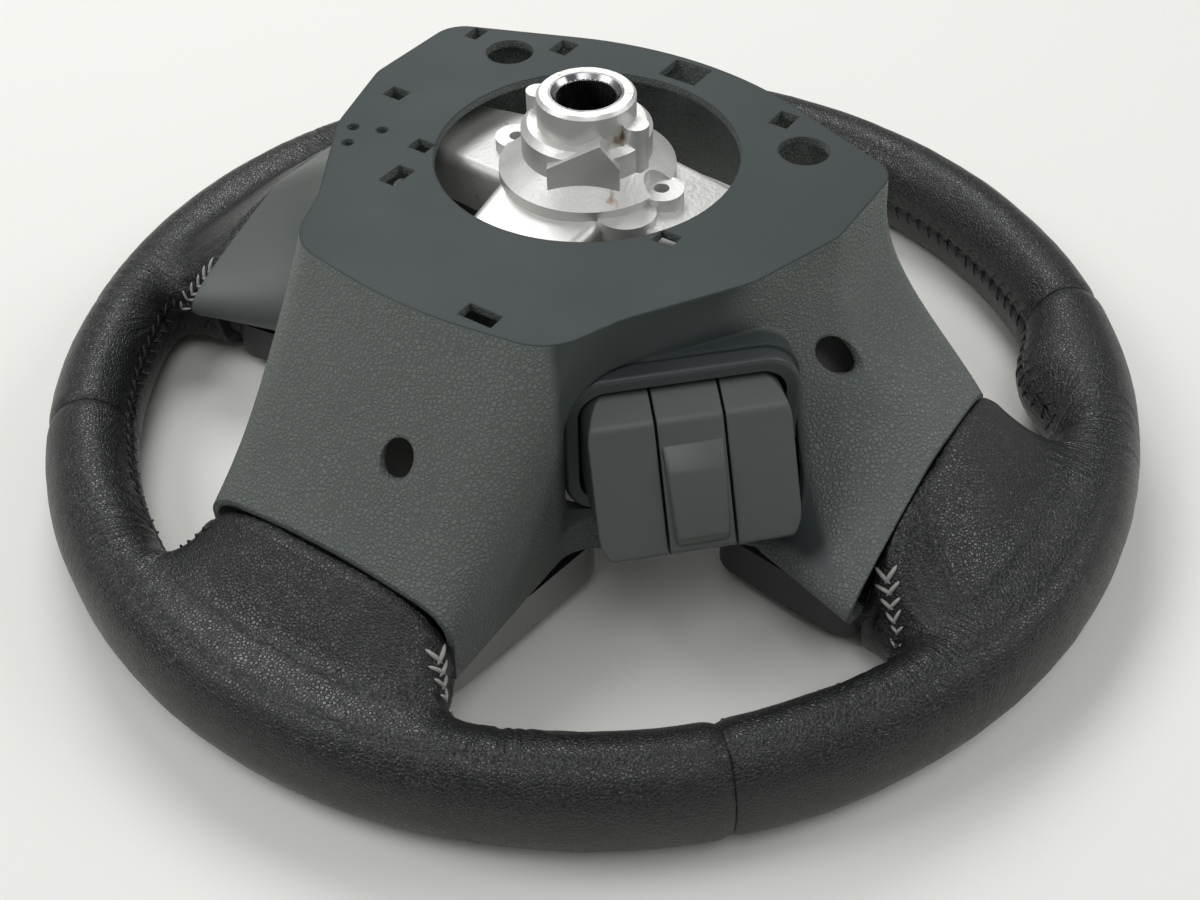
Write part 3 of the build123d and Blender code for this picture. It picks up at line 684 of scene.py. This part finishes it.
folds = dict(
    seamReach=0.005,
    seamDepth=0.0011,
    lacingBand=0.012,
    lacingHalf=0.0011,
    lacingDepth=0.0011,
    puckerReach=0.0042,
    puckerDepth=0.0005,
    puckerSlant=0.45,
    tubeReach=0.03,
    thumbFrom=47.4,
    thumbPeak=58.0,
    thumbPeakEnd=59.0,
    thumbTo=69.0,
    thumbDepth=0.0082,
    thumbRound=1.5,
    edgeReach=0.004,
    edgeBack=0.012,
    edgeSide=0.02,
    edgeDepth=0.0016,
    wrinkleDepth=0.0006,
    wrinkleReach=0.020,
    wrinkleStart=0.010,
    wrinkleCut=-1.6,
    wrinkleLift=0.25,
    fanReach=0.064,
    fanRise=1.3,
    fanLean=0.4,
    creaseReach=0.021,
    creaseStart=0.012,
    creaseCornerStep=9,
    creaseSideStep=4,
    corners=((0.062, -0.138, 0.022), (0.141, -0.056, 0.022), (0.150, 0.049, 0.022)),
)
# share, waves round the corner, waves outwards, offsets in the noise by side and by corner
wrinkleWaves = ((1.0, 4.6, 22.0, 3.1, 50), (0.6, 9.5, 40.0, 7.7, 90))
# depth, scale and seed of the hide's slow unevenness
hideLumps = ((0.00012, 140.0, 3.0), (0.00025, 38.0, 8.0))


def clockOf(points):
    return np.degrees(np.arctan2(points[:, 0], points[:, 1]))


def tubeTurnOf(points):
    ring = np.hypot(points[:, 0], points[:, 1]) - leather["rimRadius"]
    rise = points[:, 2] - leather["deepHalf"]
    return np.degrees(np.arctan2(rise / leather["deepHalf"], ring / leather["acrossHalf"])) % 360


def thumbSwell(clock):
    swell = softStep(folds["thumbFrom"], folds["thumbPeak"], clock)
    return swell * (1 - softStep(folds["thumbPeakEnd"], folds["thumbTo"], clock))


def lacingTurnAt(clock):
    # the laced seam sits square inside at the top, and nearer the back lower down
    return leather["lacingTurn"] + leather["lacingRise"] * np.exp(-(clock / leather["lacingSpan"]) ** 2)


def lacingMove(points, turn, clock, ring):
    # the laced seam along the rim's inner side: a groove, and puckers drawn in by each stitch
    width = np.radians(turn - lacingTurnAt(clock)) * leather["sectionRadius"]
    along = np.radians(clockOf(points)) * innerRadius
    onTube = (np.abs(ring - innerRadius) < folds["lacingBand"]).astype(float)
    groove = np.exp(-(width / folds["lacingHalf"]) ** 2)
    phase = (along + folds["puckerSlant"] * np.abs(width)) / leather["stitchStep"]
    dip = 0.5 + 0.5 * np.cos(2 * np.pi * phase)
    pucker = dip ** 2 * np.exp(-(width / folds["puckerReach"]) ** 2)
    return -onTube * (folds["lacingDepth"] * groove + folds["puckerDepth"] * pucker)


def edgeMove(points):
    # the hide rolls in where a spoke end meets the cover
    move = np.zeros(len(points))
    for root in spokeRoots.values():
        reach, across = rootReach(points, root)
        ahead = reach - root["start"]
        near = np.abs(across) < root["half"] + folds["edgeSide"]
        near &= (ahead > -folds["edgeBack"]) & (ahead < folds["edgeReach"])
        share = np.clip(1 - ahead / folds["edgeReach"], 0, 1)
        move -= np.where(near, folds["edgeDepth"] * share ** 2, 0)
    return move


def cornerFan(points, corner, side):
    # angle round a spoke corner and distance from it, for the points close to it
    x, y, z = corner
    offset = points - np.array((side * x, y, z))
    away = np.linalg.norm(offset, axis=1)
    close = np.where(away < folds["fanReach"])[0]
    lead = math.atan2(y, side * x)
    out = offset[close, 0] * math.cos(lead) + offset[close, 1] * math.sin(lead)
    left = -offset[close, 0] * math.sin(lead) + offset[close, 1] * math.cos(lead)
    turn = np.arctan2(offset[close, 2] * folds["fanRise"] + out * folds["fanLean"], left)
    return close, turn, away[close]


def wrinkleNoise(turn, away, corner, side):
    height = 0.0
    for share, turnRate, awayRate, sideStep, cornerStep in wrinkleWaves:
        seed = side * sideStep + corner[0] * cornerStep
        height += share * noise.noise(Vector((turnRate * turn, awayRate * away, seed)))
    return height


def wrinkleMove(points):
    # folds fan out from the corners where the hide is pulled round a spoke end
    move = np.zeros(len(points))
    for corner in folds["corners"]:
        for side in (1, -1):
            close, fan, away = cornerFan(points, corner, side)
            rays = np.array([wrinkleNoise(turn, far, corner, side) for turn, far in zip(fan, away)])
            reach = np.exp(-((away - folds["wrinkleStart"]) / folds["wrinkleReach"]) ** 2)
            ridges = np.abs(rays) * folds["wrinkleCut"] + folds["wrinkleLift"]
            move[close] += folds["wrinkleDepth"] * reach * ridges
    return move


def markFans(form):
    # the same fans, kept on the mesh for the fine creases of the hide's material
    points = readVertices(form, "co")
    fans = np.zeros((len(points), 3))
    for index, corner in enumerate(folds["corners"]):
        for side in (1, -1):
            close, fan, away = cornerFan(points, corner, side)
            mask = np.exp(-((away - folds["creaseStart"]) / folds["creaseReach"]) ** 2)
            nearer = mask > fans[close, 2]
            turn = fan + folds["creaseCornerStep"] * index + folds["creaseSideStep"] * side
            fans[close[nearer]] = np.stack([turn, away, mask], 1)[nearer]
    layer = form.data.attributes.new("fan", "FLOAT_VECTOR", "POINT")
    layer.data.foreach_set("vector", fans.astype(np.float32).ravel())


def shapeHide(form):
    points = readVertices(form, "co")
    normals = readVertices(form, "normal")
    clock = np.abs(clockOf(points))
    ring = np.hypot(points[:, 0], points[:, 1])
    turn = tubeTurnOf(points)
    radial = np.stack([points[:, 0] / ring, points[:, 1] / ring, np.zeros(len(points))], 1)
    inner = np.clip(-np.cos(np.radians(turn)), 0, 1)
    # thumb rests swell inwards below the upper seams
    onTube = np.abs(ring - leather["rimRadius"]) < folds["tubeReach"]
    swell = folds["thumbDepth"] * thumbSwell(clock) * inner ** folds["thumbRound"] * onTube
    points = points - radial * swell[:, None]
    move = np.zeros(len(points))
    for seam in (leather["upperSeam"], leather["lowerSeam"]):
        gap = np.abs(np.radians(clock - seam)) * leather["rimRadius"]
        move -= folds["seamDepth"] * np.clip(1 - gap / folds["seamReach"], 0, 1) ** 2
    move += lacingMove(points, turn, clock, ring)
    move += edgeMove(points)
    move += wrinkleMove(points)
    for depth, scale, seed in hideLumps:
        move += depth * roughField(points, scale, seed)
    writePoints(form, points + normals * move[:, None])
    markFans(form)


def cutRootEnds(form):
    # each spoke end is cut square where the cover takes over, and its edge tucked under the cover
    for root in spokeRoots.values():
        out, left = leadAxes(root["angle"])
        start = root["start"]
        reach, across = rootReach(readVertices(form, "co"), root)
        chosen = (reach < start + leather["rootCutAhead"]) & (reach > start - leather["rootCutBehind"])
        chosen &= np.abs(across) < root["half"] + leather["rootCutSide"]
        pickOnly(form)
        for parts in (form.data.edges, form.data.polygons):
            parts.foreach_set("select", np.zeros(len(parts), bool))
        form.data.vertices.foreach_set("select", chosen)
        bpy.ops.object.mode_set(mode="EDIT")
        bpy.ops.mesh.select_mode(type="VERT")
        bpy.ops.mesh.bisect(plane_co=out * start, plane_no=out, clear_inner=True)
        bpy.ops.mesh.extrude_region_move(MESH_OT_extrude_region={})
        centre = out * start + left * root["middle"] + Vector((0, 0, root["waist"]))
        bpy.ops.transform.resize(value=(leather["rootLip"],) * 3, center_override=centre)
        bpy.ops.mesh.extrude_region_move(MESH_OT_extrude_region={})
        bpy.ops.transform.translate(value=out * -leather["rootTuck"])
        bpy.ops.object.mode_set(mode="OBJECT")


def cutPanel(form, name, first, last):
    pickOnly(form)
    bpy.ops.object.duplicate()
    panel = bpy.context.object
    panel.name = name
    for clock, keepAfter in ((first, True), (last, False)):
        out, along = clockAxes(clock)
        hub = out * leather["rimRadius"] + Vector((0, 0, leather["deepHalf"]))
        spot = hub + along * leather["seamGap"] * (1 if keepAfter else -1)
        bpy.ops.object.mode_set(mode="EDIT")
        bpy.ops.mesh.select_all(action="SELECT")
        bpy.ops.mesh.bisect(plane_co=spot, plane_no=along, clear_inner=keepAfter, clear_outer=not keepAfter)
        bpy.ops.mesh.extrude_region_move(MESH_OT_extrude_region={})
        bpy.ops.transform.resize(value=(leather["lip"],) * 3, center_override=hub)
        bpy.ops.object.mode_set(mode="OBJECT")
    bpy.ops.object.shade_smooth()
    return panel


panelClocks = dict(
    leather_top=(-leather["upperSeam"], leather["upperSeam"]),
    leather_right_grip=(leather["upperSeam"], leather["lowerSeam"]),
    leather_bottom=(leather["lowerSeam"], 360 - leather["lowerSeam"]),
    leather_left_grip=(-leather["lowerSeam"], -leather["upperSeam"]),
)
paddedForm = makePaddedForm()
shapeHide(paddedForm)
cutRootEnds(paddedForm)
for nodeName, (firstClock, lastClock) in panelClocks.items():
    panel = cutPanel(paddedForm, nodeName + "_hide", firstClock, lastClock)
    dress(panel, hideMaterial)
    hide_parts(nodeName)
    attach(panel, "wheel")
print("leather panels sewn")


# Lacing: slanted stitches along the rim's inner seam, and others on the spoke ends' flanks

stitch = dict(length=0.0050, thick=0.0010, slant=46.0, lift=0.0002, spread=0.0019)
laceSpans = ((-70.0, 70.0), (107.0, 153.0), (-153.0, -107.0))
rootStitch = dict(
    count=6, step=0.062, drop=5.6, grow=1.45, shrink=0.09, sway=9.0, swayStep=2.3, apart=0.0012
)
# spoke, far side, first share, height of the first stitch round the flank
paleFlanks = (("bottom", False, 0.17, 25.0), ("right", True, 0.10, 36.0), ("left", False, 0.10, 36.0))
darkFlanks = (("right", False, 0.14, 14.0), ("left", True, 0.14, 14.0), ("bottom", True, 0.17, 25.0))


def makeStitchModel():
    clearSelection()
    bpy.ops.mesh.primitive_uv_sphere_add(segments=8, ring_count=6, radius=0.5)
    model = bpy.context.object
    model.name = "stitchModel"
    model.scale = (stitch["length"], stitch["thick"], stitch["thick"])
    bpy.ops.object.transform_apply(location=True, rotation=True, scale=True)
    for corner in model.data.vertices:
        # the ends dip into the hide
        share = corner.co.x / stitch["length"] * 2
        corner.co.z -= 0.5 * stitch["thick"] * share * share
    return model


def placeStitch(model, spot, along, normal, slant, grow=1.0):
    pickOnly(model)
    bpy.ops.object.duplicate()
    copy = bpy.context.object
    left = normal.cross(along).normalized()
    forward = (along * math.cos(slant) + left * math.sin(slant)).normalized()
    axes = Matrix((forward, normal.cross(forward), normal)).transposed().to_4x4()
    copy.data.transform(Matrix.Translation(spot) @ axes @ Matrix.Scale(grow, 4))
    return copy


def rimSpot(clock, turn):
    section = math.radians(turn)
    out, along = clockAxes(clock)
    swell = folds["thumbDepth"] * float(thumbSwell(abs(clock)))
    spot = out * (leather["rimRadius"] + leather["acrossHalf"] * math.cos(section) - swell)
    spot.z = leather["deepHalf"] * (1 + math.sin(section))
    return spot, along


def settle(form, spot, lift):
    # the nearest point of the hide, and the hide's direction there
    _, place, normal, _ = form.closest_point_on_mesh(spot)
    return place + normal * lift, normal


def makeLacing(form, model):
    copies = []
    stepClock = math.degrees(leather["stitchStep"] / innerRadius)
    sideTurn = math.degrees(stitch["spread"] / leather["sectionRadius"])
    for first, last in laceSpans:
        count = int((last - first) / stepClock)
        for index in range(count):
            clock = round(first / stepClock) * stepClock + index * stepClock
            for side in (1, -1):
                spot, along = rimSpot(clock, float(lacingTurnAt(clock)) + side * sideTurn)
                spot, normal = settle(form, spot, stitch["lift"])
                slant = side * math.radians(-stitch["slant"])
                copies.append(placeStitch(model, spot, along, normal, slant))
    return joinPieces(copies, "rimLacing")


def flankSpot(flank, index):
    # the seam climbs from the rim's inner side to the cover's edge
    root, farSide, first, high = flank
    share = first + rootStitch["step"] * index
    turn = max(high - rootStitch["drop"] * index, 0.0)
    return rootPoint(spokeRoots[root], share, math.radians(180 - turn if farSide else turn))


def makeFlankStitches(form, model, flanks, name):
    copies = []
    for flank in flanks:
        for index in range(rootStitch["count"]):
            spot = flankSpot(flank, index)
            ahead = (flankSpot(flank, index + 1) - spot).normalized()
            grow = rootStitch["grow"] - rootStitch["shrink"] * index
            for side in (1, -1):
                place, normal = settle(form, spot, 0)
                across = normal.cross(ahead).normalized() * side * rootStitch["apart"]
                place, normal = settle(form, place + across, stitch["lift"])
                sway = rootStitch["sway"] * math.sin(rootStitch["swayStep"] * index + side)
                slant = math.radians(sway - side * stitch["slant"])
                copies.append(placeStitch(model, place, ahead, normal, slant, grow))
    return joinPieces(copies, name)


stitchModel = makeStitchModel()
bpy.context.view_layer.update()
rimLacing = makeLacing(paddedForm, stitchModel)
dress(rimLacing, threadMaterial)
flankLacing = makeFlankStitches(paddedForm, stitchModel, paleFlanks, "flankLacing")
dress(flankLacing, paleThreadMaterial)
upperLacing = makeFlankStitches(paddedForm, stitchModel, darkFlanks, "upperLacing")
dress(upperLacing, threadMaterial)
bpy.data.objects.remove(stitchModel)
bpy.data.objects.remove(paddedForm)
for piece in (rimLacing, flankLacing, upperLacing):
    pickOnly(piece)
    bpy.ops.object.shade_smooth()
    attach(piece, "wheel")
print("lacing placed")


# Finger wedge on the middle key: it rises from the brow and drops off before the tip

keyWedge = dict(
    turn=-45.0,
    reach=0.0965,
    shift=0.0105,
    height=0.0826,
    fall=56.8,
    sink=0.0006,
    edge=0.0006,
    smoothAngle=35.0,
)
# distance down the key, half width at the foot, half width at the top, rise
wedgeSections = (
    (0.0065, 0.0092, 0.0090, 0.0001),
    (0.0145, 0.0090, 0.0083, 0.0024),
    (0.0338, 0.0084, 0.0073, 0.0028),
    (0.0364, 0.0083, 0.0069, 0.0003),
)


def setSection(corners, section):
    along, foot, top, rise = section
    sink = -keyWedge["sink"]
    outline = ((-foot, sink), (foot, sink), (top, rise), (-top, rise))
    for corner, (across, height) in zip(corners, outline):
        corner.co = (along, across, height)


def makeKeyWedge():
    clearSelection()
    bpy.ops.mesh.primitive_plane_add(size=1.0)
    wedge = bpy.context.object
    wedge.name = "keyWedge"
    ring = [wedge.data.vertices[index] for index in (0, 1, 3, 2)]
    setSection(ring, wedgeSections[0])
    for section in wedgeSections[1:]:
        bpy.ops.object.mode_set(mode="EDIT")
        bpy.ops.mesh.extrude_region_move(MESH_OT_extrude_region={})
        bpy.ops.object.mode_set(mode="OBJECT")
        moved = [corner for corner in wedge.data.vertices if corner.select]
        middle = sum(corner.co.z for corner in moved) / len(moved)
        moved.sort(key=lambda corner: math.atan2(corner.co.z - middle, corner.co.y))
        setSection(moved, section)
    bpy.ops.object.mode_set(mode="EDIT")
    bpy.ops.mesh.select_all(action="SELECT")
    bpy.ops.mesh.normals_make_consistent(inside=False)
    bpy.ops.mesh.bevel(offset=keyWedge["edge"], segments=3, affect="EDGES")
    bpy.ops.object.mode_set(mode="OBJECT")
    fall = math.radians(keyWedge["fall"])
    out, side = leadAxes(keyWedge["turn"])
    up = Vector((0, 0, 1))
    down = out * math.cos(fall) - up * math.sin(fall)
    normal = out * math.sin(fall) + up * math.cos(fall)
    spot = out * keyWedge["reach"] + side * keyWedge["shift"] + up * keyWedge["height"]
    axes = Matrix((down, normal.cross(down), normal)).transposed().to_4x4()
    wedge.data.transform(Matrix.Translation(spot) @ axes)
    bpy.ops.object.shade_smooth_by_angle(angle=math.radians(keyWedge["smoothAngle"]))
    dress(wedge, keyMaterial)
    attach(wedge, "key_middle")


makeKeyWedge()
print("key wedge added")


# Floor, light and the photograph's camera

studio = dict(
    floorSize=6.0,
    floorColour=(0.84, 0.84, 0.80),
    floorRough=0.9,
    worldColour=(0.97, 0.99, 1.0),
    worldStrength=0.24,
    lampSize=0.85,
    lampTarget=(0, 0, 0.05),
)
# power and place of each lamp
lamps = dict(
    frontLight=(5.5, (0.6, -0.6, 1.6)),
    leftLight=(9.5, (-0.9, -0.75, 1.35)),
    rightLight=(7.5, (1.1, 0.95, 1.2)),
    backLight=(12.0, (-0.8, 0.75, 1.3)),
)
photoCamera = dict(
    spot=(0.22930, -0.32870, 0.3683),
    right=(0.83038, 0.55705, -0.01296),
    up=(-0.37939, 0.58228, 0.71904),
    forward=(-0.40809, 0.59216, -0.69485),
    lens=44.76,
    sensor=36.0,
    clipStart=0.01,
)


def makeFloor():
    clearSelection()
    bpy.ops.mesh.primitive_plane_add(size=studio["floorSize"])
    floor = bpy.context.object
    floor.name = "floor"
    material, shader = newMaterial("paleFloor")
    shader.inputs["Base Color"].default_value = (*studio["floorColour"], 1.0)
    shader.inputs["Roughness"].default_value = studio["floorRough"]
    dress(floor, material)


def addArea(name, power, spot):
    light = bpy.data.lights.new(name, "AREA")
    light.shape = "DISK"
    light.size = studio["lampSize"]
    light.energy = power
    lamp = bpy.data.objects.new(name, light)
    bpy.context.scene.collection.objects.link(lamp)
    lamp.location = spot
    aim = Vector(studio["lampTarget"]) - Vector(spot)
    lamp.rotation_euler = aim.to_track_quat("-Z", "Y").to_euler()


def makeCamera():
    camera = bpy.data.cameras.new("photoCamera")
    camera.lens = photoCamera["lens"]
    camera.sensor_width = photoCamera["sensor"]
    camera.sensor_fit = "HORIZONTAL"
    camera.clip_start = photoCamera["clipStart"]
    holder = bpy.data.objects.new("photoCamera", camera)
    bpy.context.scene.collection.objects.link(holder)
    back = -Vector(photoCamera["forward"])
    axes = Matrix((photoCamera["right"], photoCamera["up"], back)).transposed()
    holder.matrix_world = Matrix.Translation(photoCamera["spot"]) @ axes.to_4x4()
    bpy.context.scene.camera = holder


def makeWorld():
    world = bpy.data.worlds.new("softSky")
    world.use_nodes = True
    sky = world.node_tree.nodes["Background"]
    sky.inputs["Color"].default_value = (*studio["worldColour"], 1.0)
    sky.inputs["Strength"].default_value = studio["worldStrength"]
    bpy.context.scene.world = world


makeFloor()
makeWorld()
for lampName, (lampPower, lampSpot) in lamps.items():
    addArea(lampName, lampPower, lampSpot)
makeCamera()
bpy.context.scene.view_settings.view_transform = "Standard"
print("stage set")

clearSelection()
